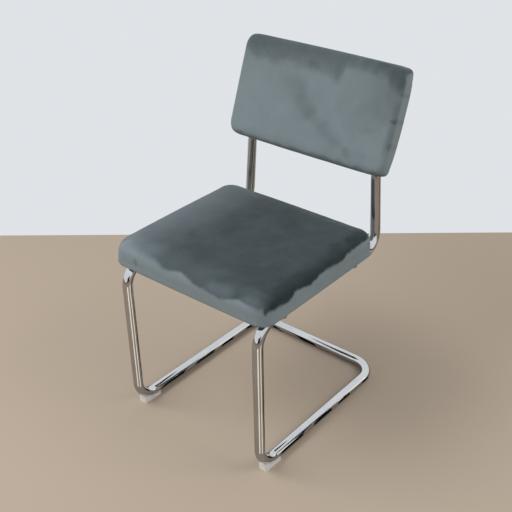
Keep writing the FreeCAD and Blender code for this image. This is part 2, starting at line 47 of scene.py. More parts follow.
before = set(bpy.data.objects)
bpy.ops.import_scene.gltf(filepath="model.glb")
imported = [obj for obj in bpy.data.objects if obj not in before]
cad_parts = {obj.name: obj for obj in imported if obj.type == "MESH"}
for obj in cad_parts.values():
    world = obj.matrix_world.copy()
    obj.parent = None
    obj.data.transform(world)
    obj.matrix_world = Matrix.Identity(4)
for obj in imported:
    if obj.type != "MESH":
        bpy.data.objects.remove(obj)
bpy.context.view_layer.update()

seat_low, seat_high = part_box("seat_cover")
dust_low, dust_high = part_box("seat_dust_cover")
dust_centre_y = (dust_low.y + dust_high.y) / 2

# The camera stands where the photograph's one stood; angles in degrees, lens and sensor in millimetres
CAMERA_PLACE = Vector((1.19069, -1.47457, 1.50232))
CAMERA_YAW = 39.29
CAMERA_PITCH = 30.13
CAMERA_ROLL = -0.35
CAMERA_LENS = 62.92
SENSOR_WIDTH = 36.0

# The back board's place against the posts, as in the solids
BACK_LEAN = math.radians(19.8)
BOARD_FOOT = Vector((0.0, 0.2005, 0.603))
RAIL_X = 0.2005
FRONT_LEG_Y = -0.250
RAIL_RADIUS = 0.0125
POST_TO_BOARD = 0.0128
DUST_CLOTH_CORNER = 0.026
BOARD_UP = Vector((0.0, math.sin(BACK_LEAN), math.cos(BACK_LEAN)))
BOARD_REARWARD = Vector((0.0, math.cos(BACK_LEAN), -math.sin(BACK_LEAN)))


def metres(name, description, default):
    return FloatProperty(name=name, description=description, default=default, unit="LENGTH")


def tint(name, description, default):
    return FloatVectorProperty(name=name, description=description, default=default, subtype="COLOR", size=3)


class ChairSizes(bpy.types.PropertyGroup):
    seat_width: metres("Seat width", "Seat across, side to side", 0.466)
    seat_depth: metres("Seat depth", "Seat from front to rear edge", 0.430)
    seat_height: metres("Seat edge height", "Height of the seat's side band", 0.058)
    seat_crown: metres("Seat crown", "Rise of the seat's middle above its edge", 0.005)
    seat_corner: metres("Seat corner", "Radius of the seat's corners from above", 0.044)
    seat_low_corner: metres("Seat lower corner", "Radius of the corners at the panel", 0.032)
    seat_front_edge: metres("Seat front edge", "Radius of the seat's upper front edge", 0.032)
    seat_side_edge: metres("Seat side edge", "Radius of the seat's upper side edges", 0.018)
    back_width: metres("Back width", "Back board across", 0.470)
    back_height: metres("Back height", "Back board from lower to upper edge", 0.258)
    back_thickness: metres("Back thickness", "Back board at its edge", 0.043)
    back_crown: metres("Back crown", "Rise of the board's middle above its edge", 0.0025)
    back_corner: metres("Back corner", "Radius of the board's corners from the front", 0.036)
    back_rear_corner: metres("Back rear corner", "Radius of the corners at the rear face", 0.014)
    back_edge: metres("Back edge", "Radius of the board's front and rear edges", 0.015)
    under_edge: metres("Seat lower edge", "Radius of the seat's lower edge", 0.004)
    crown_run: metres("Crown run", "Distance from the edge at which the crown is full", 0.095)
    side_bow: metres("Side bow", "How far the cushions' sides stand out in their middles", 0.0015)
    ripple: metres("Ripple", "Height of the cover's soft unevenness", 0.0005)
    cloth_cell: metres("Cloth cell", "Size of the mesh cells that the cover swells with", 0.005)
    swell_limit: metres("Swell limit", "Most that the cover may swell", 0.003)
    swell_pressure: FloatProperty(name="Swell pressure", description="Pressure of the foam on the cover",
                                  default=4.0)
    staple_pitch: metres("Staple pitch", "Distance between staples in the dust cloth", 0.035)


class ChairColours(bpy.types.PropertyGroup):
    # The dark and light velvet are the ends of a blend that carries painted shade on level faces and painted sheen
    # on upright faces.
    velvet_dark: tint("Velvet against the nap", "Darkest velvet", (0.020, 0.031, 0.034))
    velvet_light: tint("Velvet with the nap", "Lightest velvet", (0.235, 0.287, 0.308))
    chrome: tint("Chrome", "Plated tube", (0.79, 0.79, 0.80))
    milky: tint("Front shoes", "Milky plastic", (0.94, 0.91, 0.91))
    clear: tint("Rear pads", "Clear plastic", (0.92, 0.93, 0.92))
    black: tint("Black parts", "Caps and dust cloth", (0.012, 0.012, 0.013))
    zinc: tint("Zinc plating", "Bolts, washers, nuts and staples", (0.52, 0.53, 0.55))
    floor: tint("Floor", "Plain pale floor", (0.53, 0.435, 0.34))
    wall: tint("Backdrop", "Plain pale wall behind the chair", (0.74, 0.77, 0.80))


# Shader nodes and the effects that several materials share

def feed(tree, node, inputs):
    """Fills a node's inputs by name or number: another node's socket is linked, and any other value is written."""
    for label, value in inputs.items():
        if isinstance(value, bpy.types.NodeSocket):
            tree.links.new(value, node.inputs[label])
        else:
            node.inputs[label].default_value = value


def add(tree, kind, place, inputs=None, **properties):
    """A node at a place in the tree."""
    node = tree.nodes.new(kind)
    node.location = place
    for key, value in properties.items():
        setattr(node, key, value)
    feed(tree, node, inputs or {})
    return node


def noise_node(tree, place, vector, scale, detail, roughness, distortion=0.0):
    return add(tree, "ShaderNodeTexNoise", place, {
        "Vector": vector, "Scale": scale, "Detail": detail, "Roughness": roughness, "Distortion": distortion,
    }).outputs["Fac"]


def range_node(tree, place, value, low, high, to_low, to_high):
    return add(tree, "ShaderNodeMapRange", place, {
        "Value": value, "From Min": low, "From Max": high, "To Min": to_low, "To Max": to_high,
    }).outputs["Result"]


def math_node(tree, place, operation, *terms, clamp=False):
    return add(tree, "ShaderNodeMath", place, dict(enumerate(terms)), operation=operation,
               use_clamp=clamp).outputs["Value"]


def stretched(tree, place, vector, scale):
    return add(tree, "ShaderNodeMapping", place, {"Vector": vector, "Scale": scale}).outputs["Vector"]


def new_group(name, inputs, outputs):
    """Node group with float outputs; also returns the sockets of its inputs: a vector and floats by name."""
    group = bpy.data.node_groups.new(name, "ShaderNodeTree")
    group.interface.new_socket(name="Vector", in_out="INPUT", socket_type="NodeSocketVector")
    for label, value in inputs.items():
        socket = group.interface.new_socket(name=label, in_out="INPUT", socket_type="NodeSocketFloat")
        socket.default_value = value
    for label in outputs:
        group.interface.new_socket(name=label, in_out="OUTPUT", socket_type="NodeSocketFloat")
    return group, add(group, "NodeGroupInput", (-800, 0)).outputs


def pile_group():
    """Short velvet pile: a mask of the fibres' light and dark specks, crushed patches and their height."""
    group, given = new_group("Velvet pile", {"Fibre scale": 900.0, "Crush scale": 26.0},
                             ("Specks", "Crush", "Height"))
    fibre = noise_node(group, (-400, 200), given["Vector"], given["Fibre scale"], 2.0, 0.55)
    crush = noise_node(group, (-400, -100), given["Vector"], given["Crush scale"], 5.0, 0.6, 0.8)
    specks = range_node(group, (-100, 200), fibre, 0.3, 0.7, -1.0, 1.0)
    soft = range_node(group, (-100, -100), crush, 0.3, 0.7, -1.0, 1.0)
    part = math_node(group, (150, 50), "MULTIPLY", soft, 0.35)
    height = math_node(group, (350, 50), "ADD", specks, part)
    add(group, "NodeGroupOutput", (600, 0), {"Specks": specks, "Crush": soft, "Height": height})
    return group


def handling_group():
    """Faint smears and fine scratches that handled hard surfaces carry."""
    group, given = new_group("Handling marks", {"Smear scale": 14.0, "Scratch scale": 220.0},
                             ("Smears", "Scratches"))
    along = stretched(group, (-600, 0), given["Vector"], (1.0, 1.0, 0.06))
    smear = noise_node(group, (-400, 250), given["Vector"], given["Smear scale"], 5.0, 0.62)
    scratch = noise_node(group, (-400, 0), along, given["Scratch scale"], 3.0, 0.5)
    add(group, "NodeGroupOutput", (500, 0), {
        "Smears": range_node(group, (-100, 250), smear, 0.42, 0.68, 0.0, 1.0),
        "Scratches": range_node(group, (-100, 0), scratch, 0.62, 0.72, 0.0, 1.0),
    })
    return group


def place_group(tree, name, maker, place, inputs):
    """Places a shared group, made at its first use; returns the group's outputs."""
    node = add(tree, "ShaderNodeGroup", place, node_tree=bpy.data.node_groups.get(name) or maker())
    feed(tree, node, inputs)
    return node.outputs


def material_base(name):
    """Material with a plain shader; returns it, its tree and the shader."""
    material = bpy.data.materials.get(name) or bpy.data.materials.new(name)
    material.use_nodes = True
    tree = material.node_tree
    tree.nodes.clear()
    shader = add(tree, "ShaderNodeBsdfPrincipled", (600, 0))
    add(tree, "ShaderNodeOutputMaterial", (900, 0), {"Surface": shader.outputs["BSDF"]})
    return material, tree, shader


def piece_coordinates(tree):
    return add(tree, "ShaderNodeTexCoord", (-1200, 0)).outputs["Object"]


def tint_base(tree, shader, mask, first, second):
    """Lets a mask's socket blend the base colour from the first colour to the second."""
    node = add(tree, "ShaderNodeMix", (0, 150), {"Factor": mask}, data_type="RGBA")
    ends = [socket for socket in node.inputs if socket.type == "RGBA"]
    for socket, colour in zip(ends, (first, second)):
        socket.default_value = (*colour, 1.0)
    blended = next(socket for socket in node.outputs if socket.type == "RGBA")
    tree.links.new(blended, shader.inputs["Base Color"])


def roughen(tree, shader, mask, smooth, rough):
    """Lets a mask's socket lead the roughness from one value to the other."""
    feed(tree, shader, {"Roughness": range_node(tree, (0, -150), mask, 0.0, 1.0, smooth, rough)})


def emboss(tree, shader, height, strength, distance):
    """Lets a height's socket bump the surface."""
    bump = add(tree, "ShaderNodeBump", (300, -300), {"Height": height, "Strength": strength, "Distance": distance})
    feed(tree, shader, {"Normal": bump.outputs["Normal"]})


# How much crushed patches and single fibres change the velvet's tone
CRUSH_SHARE = 0.035
SPECK_SHARE = 0.045


def velvet_material():
    """Short pile velvet whose base colour carries painted sheen and painted shade: light on upright faces and dark
    on level ones, with brush marks.
    """
    colours = bpy.context.scene.chair_colours
    material, tree, shader = material_base("grey_teal_velvet")
    coords = piece_coordinates(tree)
    pile = place_group(tree, "Velvet pile", pile_group, (-900, -200), {"Vector": coords})
    # The nap attribute is the pile's tone with painted sheen and painted shade; it blends the base colour from the
    # dark velvet to the light one.
    nap = add(tree, "ShaderNodeAttribute", (-900, 200), attribute_name="nap").outputs["Fac"]
    crush = math_node(tree, (-650, 50), "MULTIPLY", pile["Crush"], CRUSH_SHARE)
    specks = math_node(tree, (-650, -150), "MULTIPLY", pile["Specks"], SPECK_SHARE)
    brushed = math_node(tree, (-450, 150), "ADD", nap, crush)
    speckled = math_node(tree, (-280, 100), "ADD", brushed, specks, clamp=True)
    tint_base(tree, shader, speckled, colours.velvet_dark, colours.velvet_light)
    roughen(tree, shader, speckled, 0.92, 0.80)
    feed(tree, shader, {"Specular IOR Level": 0.18, "Sheen Weight": 0.22, "Sheen Roughness": 0.45,
                        "Sheen Tint": (0.78, 0.84, 0.86, 1.0)})
    emboss(tree, shader, pile["Height"], 0.35, 0.0006)
    return material


def handled_surface(name, colour, worn, smear_scale, smooth, rough, relief, inputs):
    """Material of a hard piece: smears change its colour and gloss; relief is the marks that stand out, with their
    strength and depth."""
    material, tree, shader = material_base(name)
    coords = piece_coordinates(tree)
    marks = place_group(tree, "Handling marks", handling_group, (-900, -100),
                        {"Vector": coords, "Smear scale": smear_scale})
    tint_base(tree, shader, marks["Smears"], colour, worn)
    roughen(tree, shader, marks["Smears"], smooth, rough)
    feed(tree, shader, inputs)
    emboss(tree, shader, marks[relief[0]], *relief[1:])
    return material


def chrome_material():
    """Polished chrome plate with faint smears and hairline scratches."""
    chrome = bpy.context.scene.chair_colours.chrome
    return handled_surface("polished_chrome", chrome, [0.90 * channel for channel in chrome], 11.0, 0.035, 0.10,
                           ("Scratches", 0.04, 0.00005), {"Metallic": 1.0})


def zinc_material():
    """Zinc plated steel: dull grey with cloudy crystals."""
    zinc = bpy.context.scene.chair_colours.zinc
    return handled_surface("zinc_plated_steel", zinc, [0.72 * channel for channel in zinc], 160.0, 0.30, 0.48,
                           ("Smears", 0.2, 0.00008), {"Metallic": 1.0})


def plastic_material(name, colour, roughness, transmission, cloudiness=0.0):
    """Moulded plastic with scuffs; milky where some light goes through it."""
    worn = [min(1.0, 0.86 * channel + 0.02) for channel in colour]
    return handled_surface(name, colour, worn, 70.0, roughness, roughness + 0.18, ("Smears", 0.15, 0.0001), {
        "Transmission Weight": transmission, "Subsurface Weight": cloudiness,
        "Subsurface Radius": (0.01, 0.01, 0.01), "IOR": 1.48,
    })


def dust_cloth_material():
    """Black non-woven cloth: pressed fibres with a grid of tiny bonded dots."""
    black = bpy.context.scene.chair_colours.black
    material, tree, shader = material_base("black_dust_cloth")
    coords = piece_coordinates(tree)
    fibres = noise_node(tree, (-700, 100), coords, 500.0, 3.0, 0.7)
    dots = add(tree, "ShaderNodeTexVoronoi", (-700, -200), {"Vector": coords, "Scale": 500.0, "Randomness": 0.15})
    tint_base(tree, shader, fibres, black, [2.6 * channel for channel in black])
    feed(tree, shader, {"Roughness": 0.95, "Specular IOR Level": 0.25})
    height = math_node(tree, (-300, -200), "MULTIPLY_ADD", dots.outputs["Distance"], 0.6, fibres)
    emboss(tree, shader, height, 0.5, 0.0003)
    return material


def plywood_material():
    """Raw plywood with a long grain."""
    material, tree, shader = material_base("raw_plywood")
    coords = piece_coordinates(tree)
    grain = noise_node(tree, (-700, 150), stretched(tree, (-950, 150), coords, (4.0, 60.0, 60.0)), 2.2, 6.0, 0.65)
    tint_base(tree, shader, grain, (0.50, 0.34, 0.19), (0.66, 0.49, 0.30))
    feed(tree, shader, {"Roughness": 0.72})
    emboss(tree, shader, grain, 0.3, 0.0002)
    return material


# Curves and noise

def limited(value):
    return max(0.0, min(1.0, value))


def ease(low, high, value):
    share = limited((value - low) / (high - low))
    return share * share * (3 - 2 * share)


def fade(low, high, value):
    return 1.0 - ease(low, high, value)


def crown_rise(from_edge, crown_run):
    """Share of the crown's height at a distance from the cushion's edge."""
    return 1.0 - (1.0 - limited(from_edge / crown_run)) ** 3


def along_curve(points, place):
    """Height of a curve through (place, height) points, smooth between them."""
    if place <= points[0][0]:
        return points[0][1]
    for (start, low), (end, high) in zip(points, points[1:]):
        if place <= end:
            return low + (high - low) * ease(start, end, place)
    return points[-1][1]


def wave(point, size, seed):
    """Smooth noise from -1 to 1 with patches of about one size in metres."""
    return noise.noise(Vector(point) / size + Vector((seed, 7.3 * seed, 3.1 * seed)))


def stroke(point, start, end, width):
    """1 on a brush stroke's line, falling to 0 at its width."""
    start, end = Vector(start), Vector(end)
    along = end - start
    share = limited((point - start).dot(along) / max(along.length_squared, 1e-9))
    return fade(0.2 * width, width, (point - start - along * share).length)


# Cushions

def mesh_object(name, bm, material=None):
    mesh = bpy.data.meshes.new(name)
    bm.to_mesh(mesh)
    bm.free()
    mesh.shade_smooth()
    piece = bpy.data.objects.new(name, mesh)
    bpy.context.scene.collection.objects.link(piece)
    if material is not None:
        mesh.materials.append(material)
    return piece


def modify(piece, kind, **settings):
    """Gives a piece a modifier."""
    modifier = piece.modifiers.new(kind.title(), kind)
    for key, value in settings.items():
        setattr(modifier, key, value)
    return modifier


def baked(piece):
    """Swaps a piece's mesh for its mesh with all modifiers applied."""
    graph = bpy.context.evaluated_depsgraph_get()
    mesh = bpy.data.meshes.new_from_object(piece.evaluated_get(graph))
    piece.modifiers.clear()
    old = piece.data
    piece.data = mesh
    mesh.name = piece.name
    bpy.data.meshes.remove(old)
    return piece


def rounded_block(name, width, depth, height, corner, front_edge, side_edge, under_edge):
    """Block with its front lower edge on the X axis: round corners from above and rounded rims."""
    bm = bmesh.new()
    bmesh.ops.create_cube(bm, size=1.0)
    bmesh.ops.scale(bm, vec=(width, depth, height), verts=bm.verts)
    bmesh.ops.translate(bm, vec=(0.0, depth / 2, height / 2), verts=bm.verts)
    upright = [edge for edge in bm.edges if abs(edge.verts[0].co.z - edge.verts[1].co.z) > height / 2]
    bmesh.ops.bevel(bm, geom=upright, offset=corner, segments=9, profile=0.5, affect="EDGES", material=-1)
    weights = bm.edges.layers.float.new("bevel_weight_edge")
    largest = max(front_edge, side_edge, under_edge)
    for edge in bm.edges:
        heights = [vert.co.z for vert in edge.verts]
        middle_y = (edge.verts[0].co.y + edge.verts[1].co.y) / 2
        if min(heights) > height - MM:
            share = limited(1.0 - middle_y / corner)
            edge[weights] = (side_edge + (front_edge - side_edge) * share) / largest
        elif max(heights) < MM:
            edge[weights] = under_edge / largest
    block = mesh_object(name, bm)
    modify(block, "BEVEL", limit_method="WEIGHT", width=largest, segments=8)
    return baked(block)


def shape_cushion(piece, width, depth, height, corner, low_corner, crown, crown_run, bow):
    """Tightens the corners towards the panel, bows the sides and crowns the top."""
    middle_y = depth / 2
    centre = Vector((width / 2 - corner, depth / 2 - corner))
    step = corner - low_corner
    for vert in piece.data.vertices:
        across, along = abs(vert.co.x), abs(vert.co.y - middle_y)
        share = limited(vert.co.z / height)
        from_edge = min(width / 2 - across, depth / 2 - along)
        if vert.co.z > height / 2:
            vert.co.z += crown * crown_rise(from_edge, crown_run) * ease(0.6 * height, 0.95 * height, vert.co.z)
        out = Vector((across, along)) - centre
        if out.x > 0 and out.y > 0 and out.length > 0.3 * corner:
            heading = out.normalized()
            reach = corner / max(heading.x, heading.y)
            if reach * min(heading.x, heading.y) > step:
                lean = step * (heading.x + heading.y)
                reach = lean + math.sqrt(max(0.0, lean ** 2 - 2 * step ** 2 + low_corner ** 2))
            gain = 1.0 + (reach / corner - 1.0) * (1.0 - share) * ease(0.3 * corner, corner, out.length)
            vert.co.x = math.copysign(centre.x + out.x * gain, vert.co.x)
            vert.co.y = middle_y + math.copysign(centre.y + out.y * gain, vert.co.y - middle_y)
        bow_x = bow * (1.0 - min(1.0, along / (depth / 2)) ** 2)
        bow_y = bow * (1.0 - min(1.0, across / (width / 2)) ** 2)
        vert.co.x *= 1.0 + bow_x / (width / 2)
        vert.co.y = middle_y + (vert.co.y - middle_y) * (1.0 + bow_y / (depth / 2))


def fit_to(piece, width, depth, height, top, crown_run):
    """Brings a swelled cover back to its measured width and depth, and its crown to its height."""
    vertices = piece.data.vertices
    widest = max(abs(vert.co.x) for vert in vertices)
    rear = max(vert.co.y for vert in vertices)
    front = min(vert.co.y for vert in vertices)
    excess = max(vert.co.z for vert in vertices) - top
    for vert in vertices:
        vert.co.x *= width / 2 / widest
        vert.co.y = (vert.co.y - front) * depth / (rear - front)
        if vert.co.z > 0.8 * height:
            from_edge = min(width / 2 - abs(vert.co.x), vert.co.y, depth - vert.co.y)
            vert.co.z -= excess * crown_rise(from_edge, crown_run)


# How the cover behaves as cloth, and the frames that it takes to swell
COVER_CLOTH = {
    "quality": 6, "mass": 0.25, "tension_stiffness": 12.0, "compression_stiffness": 12.0, "shear_stiffness": 4.0,
    "bending_stiffness": 0.6, "use_pressure": True, "vertex_group_mass": "still",
}
SWELL_STEPS = 20


def on_panel(co):
    """Whether a point of a cushion lies on its panel, where the cover is held."""
    return co.z < 3 * MM


def swell(piece, pressure, limit):
    """Lets the cover swell like cloth under the foam's pressure, within a limit."""
    still = piece.vertex_groups.new(name="still")
    still.add([vert.index for vert in piece.data.vertices if on_panel(vert.co)], 1.0, "REPLACE")
    rest = [vert.co.copy() for vert in piece.data.vertices]
    cloth = modify(piece, "CLOTH")
    for key, value in COVER_CLOTH.items():
        setattr(cloth.settings, key, value)
    cloth.settings.uniform_pressure_force = pressure
    cloth.settings.effector_weights.gravity = 0.0
    cloth.collision_settings.use_collision = False
    cloth.point_cache.frame_start = 1
    cloth.point_cache.frame_end = SWELL_STEPS
    for step in range(1, SWELL_STEPS + 1):
        bpy.context.scene.frame_set(step)
    baked(piece)
    bpy.context.scene.frame_set(1)
    for vert, start in zip(piece.data.vertices, rest):
        move = vert.co - start
        if move.length > limit:
            vert.co = start + move * (limit / move.length)
    piece.vertex_groups.clear()


def relax(piece, rounds):
    """Evens out the swollen cover."""
    bm = bmesh.new()
    bm.from_mesh(piece.data)
    loose = [vert for vert in bm.verts if not on_panel(vert.co)]
    for _ in range(rounds):
        bmesh.ops.smooth_vert(bm, verts=loose, factor=0.5, use_axis_x=True, use_axis_y=True, use_axis_z=True)
    bm.to_mesh(piece.data)
    bm.free()


# Tones of the pile with painted light, from 0, dark, to 1, light: the seat's top in painted shade, its band and the
# back board's face in painted sheen, the underside in painted shade
SEAT_TOP_PAINTED_SHADE_TONE = 0.085
SEAT_BAND_PAINTED_SHEEN_TONE = 0.95
BACK_PAINTED_SHEEN_TONE = 0.92
UNDERSIDE_PAINTED_SHADE_TONE = 0.35

# How far the band of painted sheen climbs from the seat's side over its edge, below the top's painted shade: along
# the front, the left side, and the others
FRONT_BORDER = ((-0.233, 0.510), (-0.136, 0.487), (-0.096, 0.4845), (-0.062, 0.4725), (-0.015, 0.483),
                (0.038, 0.467), (0.100, 0.4595), (0.160, 0.479), (0.190, 0.473), (0.212, 0.472), (0.223, 0.462))
SIDE_BORDER = ((-0.265, 0.456), (-0.251, 0.4655), (-0.190, 0.464), (-0.164, 0.4755), (-0.117, 0.467),
               (-0.071, 0.4755), (0.007, 0.4725), (0.040, 0.480), (0.140, 0.4805))
REAR_BORDER = 0.476
RIGHT_BORDER = 0.480

# Brushed places on the seat: start, end, width and change of the pile
SEAT_STROKES = (
    ((0.204, -0.266, 0.470), (0.180, -0.270, 0.470), 0.030, 0.22),
    ((0.200, -0.250, 0.484), (0.170, -0.254, 0.485), 0.034, 0.09),
    ((0.080, -0.272, 0.470), (0.118, -0.270, 0.472), 0.030, 0.15),
    ((0.213, 0.004, 0.486), (0.198, 0.026, 0.488), 0.024, -0.075),
    ((0.216, 0.085, 0.486), (0.210, 0.130, 0.486), 0.030, -0.07),
    ((0.213, -0.200, 0.484), (0.217, -0.120, 0.484), 0.026, -0.05),
    ((0.080, 0.020, 0.489), (0.020, 0.090, 0.489), 0.050, -0.03),
    ((-0.060, -0.120, 0.489), (0.060, -0.160, 0.489), 0.045, 0.03),
    ((0.130, -0.255, 0.484), (0.172, -0.250, 0.485), 0.034, 0.05),
    ((-0.190, -0.245, 0.480), (-0.120, -0.238, 0.486), 0.040, 0.07),
)


def seat_darkness(place, from_front, from_rear, from_side, sideways):
    """How far the top's painted shade covers the pile: 0 on the band of painted sheen and 1 past its ragged border,
    on top.
    """
    from_end = min(from_front, from_rear)
    corner = bpy.context.scene.chair_sizes.seat_corner
    inset = min(from_end, from_side)
    if from_end < corner and from_side < corner:
        inset = corner - math.hypot(corner - from_end, corner - from_side)
    border = along_curve(FRONT_BORDER, place.x) if from_front < from_rear else REAR_BORDER
    side_border = along_curve(SIDE_BORDER, place.y) if place.x > 0 else RIGHT_BORDER
    border += (side_border - border) * sideways
    ragged = 0.0019 * wave(place, 0.012, 1.0) + 0.0012 * wave(place, 0.0055, 2.0)
    softness = 0.0045 + 0.0020 * wave(place, 0.040, 26.0)
    softness += (1.0 - sideways) * (
        0.0007 + 0.013 * fade(-0.16, -0.01, place.x) + 0.008 * ease(0.180, 0.220, place.x))
    climb = place.z + 0.8 * max(0.0, inset) + ragged
    patches = border + 0.0065 * max(0.0, 0.3 + wave(place, 0.017, 27.0) + 0.5 * wave(place, 0.007, 28.0))
    dark = 0.55 * ease(border - softness, border + softness, climb)
    return dark + 0.45 * ease(patches - softness, patches + softness, climb)


def seat_top_tone(place, from_front, from_side):
    """Tone of the seat's top: painted light along the right edge and the front, painted shade darkest along the left
    edge.
    """
    right_light = fade(0.0, 0.19, place.x - seat_low.x + 0.014 * wave(place, 0.05, 3.0))
    front_light = fade(0.0, 0.085, from_front + 0.012 * wave(place, 0.04, 4.0))
    front_light *= fade(0.08, 0.20, place.x)
    tone = SEAT_TOP_PAINTED_SHADE_TONE + (0.400 - 0.055 * ease(0.04, 0.14, place.y)) * right_light + 0.21 * front_light
    tone += 0.016 * wave(place, 0.090, 5.0) + 0.014 * wave(place, 0.032, 6.0)
    # Painted shade along the left edge.
    tone -= 0.09 * fade(0.008, 0.044, from_side + 0.006 * wave(place, 0.030, 7.0)) * ease(0.0, 0.05, place.x)
    for start, end, width, change in SEAT_STROKES:
        tone += change * stroke(place, start, end, width)
    return tone


def seat_band_tone(place, sideways):
    """Tone of the band of painted sheen round the seat, with painted shade at its lower hem and a painted shadow in
    a small dent.
    """
    tone = SEAT_BAND_PAINTED_SHEEN_TONE + 0.035 * wave(place, 0.045, 8.0) + 0.025 * wave(place, 0.015, 9.0)
    tone -= 0.05 * sideways * ease(-0.06, 0.00, place.y) * fade(0.06, 0.12, place.y)
    tone += 0.05 * sideways * fade(-0.16, -0.04, place.y) + 0.05 * (1.0 - sideways) * ease(0.05, 0.20, place.x)
    # Painted shadow of a small dent on the front of the band.
    tone -= 0.28 * stroke(place, (-0.154, -0.276, 0.459), (-0.151, -0.275, 0.452), 0.009)
    # Painted shade along the lower hem.
    tone -= 0.30 * fade(seat_low.z + 0.001, seat_low.z + 0.006, place.z)
    return tone


def seat_tone_with_painted_light(place, normal):
    """Pile of the seat with painted light: painted shade on top and underneath, painted sheen on the band around it.
    """
    if normal.z < -0.7:
        return limited(UNDERSIDE_PAINTED_SHADE_TONE + 0.10 * wave(place, 0.05, 10.0))
    from_front, from_rear = place.y - seat_low.y, seat_high.y - place.y
    from_side = seat_high.x - abs(place.x)
    sideways = ease(-0.003, 0.003, min(from_front, from_rear) - from_side)
    dark = seat_darkness(place, from_front, from_rear, from_side, sideways)
    band = seat_band_tone(place, sideways)
    return limited(band + (seat_top_tone(place, from_front, from_side) - band) * dark)


# Lower edge of the band of painted shade across the top of the back board, from the sitter's right to left
TOP_BORDER = ((-0.235, 0.215), (-0.166, 0.197), (-0.120, 0.200), (-0.087, 0.206), (-0.052, 0.201), (0.022, 0.203),
              (0.057, 0.191), (0.070, 0.205), (0.080, 0.224), (0.115, 0.227), (0.165, 0.228), (0.188, 0.222),
              (0.205, 0.207), (0.235, 0.196))

# Brushed places on the back board: start, end, width and change of the pile
BACK_STROKES = (
    ((-0.100, 0.195), (-0.045, 0.150), 0.048, -0.060),
    ((-0.050, 0.152), (-0.005, 0.112), 0.040, -0.085),
    ((-0.022, 0.122), (0.006, 0.102), 0.030, -0.085),
    ((0.006, 0.100), (0.049, 0.077), 0.024, -0.055),
    ((0.049, 0.077), (0.088, 0.052), 0.034, -0.080),
    ((0.070, 0.062), (0.126, 0.038), 0.018, -0.065),
    ((0.126, 0.038), (0.173, 0.040), 0.017, -0.060),
    ((-0.013, 0.214), (-0.008, 0.211), 0.019, -0.140),
    ((0.056, 0.215), (0.063, 0.197), 0.020, -0.060),
    ((0.184, 0.222), (0.203, 0.150), 0.042, -0.080),
    ((0.208, 0.230), (0.214, 0.180), 0.024, -0.060),
    ((0.166, 0.095), (0.197, 0.107), 0.018, -0.060),
    ((0.140, 0.115), (0.180, 0.150), 0.050, -0.050),
    ((-0.175, 0.212), (-0.160, 0.203), 0.020, 0.060),
    ((0.221, 0.135), (0.228, 0.131), 0.007, -0.180),
)

# Painted shade beside the back board's left edge, and painted shade in small creases on that edge: height up the
# board and size
EDGE_SHADE = ((0.0, 0.04), (0.05, 0.10), (0.075, 0.26), (0.13, 0.20), (0.16, 0.16), (0.19, 0.06))
EDGE_CREASES = ((0.077, 0.009), (0.135, 0.008), (0.195, 0.007))


def left_edge_change(place, normal, up):
    """Change of the back board's tone at its left edge: painted shade beside it, painted light on its side face and
    painted shade in its creases.
    """
    beside = ease(0.214, 0.226, place.x + 0.004 * wave(place, 0.018, 17.0)) * ease(-0.05, 0.35, normal.x)
    change = 0.08 * ease(0.80, 0.98, normal.x)
    change -= along_curve(EDGE_SHADE, up) * beside * fade(0.80, 0.96, normal.x)
    for height, size in EDGE_CREASES:
        change -= 0.17 * ease(0.3, 0.8, normal.x) * fade(0.3 * size, size, abs(up - height))
    return change


def back_tone_with_painted_light(place, normal):
    """Pile of the back board with painted light: painted sheen on its face with darker smudges, painted shade in a
    band along the top, along the lower rim and on faces that turn up and faces that turn down.
    """
    up = (place - BOARD_FOOT).dot(BOARD_UP)
    flat = Vector((place.x, up))
    facing_front = ease(0.2, 0.8, -normal.dot(BOARD_REARWARD))
    at_top = max(facing_front, ease(0.1, 0.5, normal.dot(BOARD_UP)))
    value = BACK_PAINTED_SHEEN_TONE + 0.035 * wave(place, 0.090, 11.0) + 0.028 * wave(place, 0.030, 12.0)
    # Painted shade towards the upper left, along the right edge and at the upper right; painted light near the foot.
    value -= 0.12 * ease(0.02, 0.21, place.x) * ease(0.08, 0.22, up) * facing_front
    value -= 0.06 * fade(0.004, 0.040, place.x + 0.235)
    value -= 0.07 * fade(-0.200, -0.020, place.x) * ease(0.130, 0.210, up)
    value += 0.04 * fade(0.030, 0.120, up) * facing_front
    # Painted shade in a band along the top of the board.
    border = along_curve(TOP_BORDER, place.x) + 0.006 * wave(place, 0.022, 13.0) + 0.002 * wave(place, 0.008, 22.0)
    value -= 0.29 * ease(border - 0.012, border + 0.014, up) * at_top
    value -= 0.30 * ease(border, 0.266, up + 0.007 * wave(place, 0.030, 23.0)) * at_top
    shift = Vector((wave(place, 0.030, 14.0), wave(place, 0.030, 15.0))) * 0.008
    shift += Vector((wave(place, 0.010, 24.0), wave(place, 0.010, 25.0))) * 0.003
    density = 1.15 + 0.5 * wave(place, 0.040, 21.0)
    for start, end, width, change in BACK_STROKES:
        value += density * change * stroke(flat + shift, start, end, width) * facing_front
    # Painted shade along the lower rim, which faces down.
    low_rim = 0.011 + 0.007 * wave(place, 0.022, 16.0)
    value -= 0.38 * fade(low_rim - 0.005, low_rim + 0.006, up) * facing_front
    value += left_edge_change(place, normal, up)
    # Painted shade on faces that turn up and on faces that turn down.
    if normal.z > 0.6 and facing_front < 0.5:
        value = min(value, 0.36 + 0.08 * wave(place, 0.04, 18.0))
    if normal.z < -0.6:
        value = min(value, 0.46 + 0.08 * wave(place, 0.04, 19.0))
    return limited(value)


def to_board(piece):
    """Stands a piece that was built lying on its rear face up against the posts."""
    lean = Matrix.Rotation(math.radians(90) - BACK_LEAN, 4, "X")
    rear_face = BOARD_FOOT - BOARD_REARWARD * POST_TO_BOARD
    piece.data.transform(Matrix.Translation(rear_face) @ lean)
    piece.data.update()


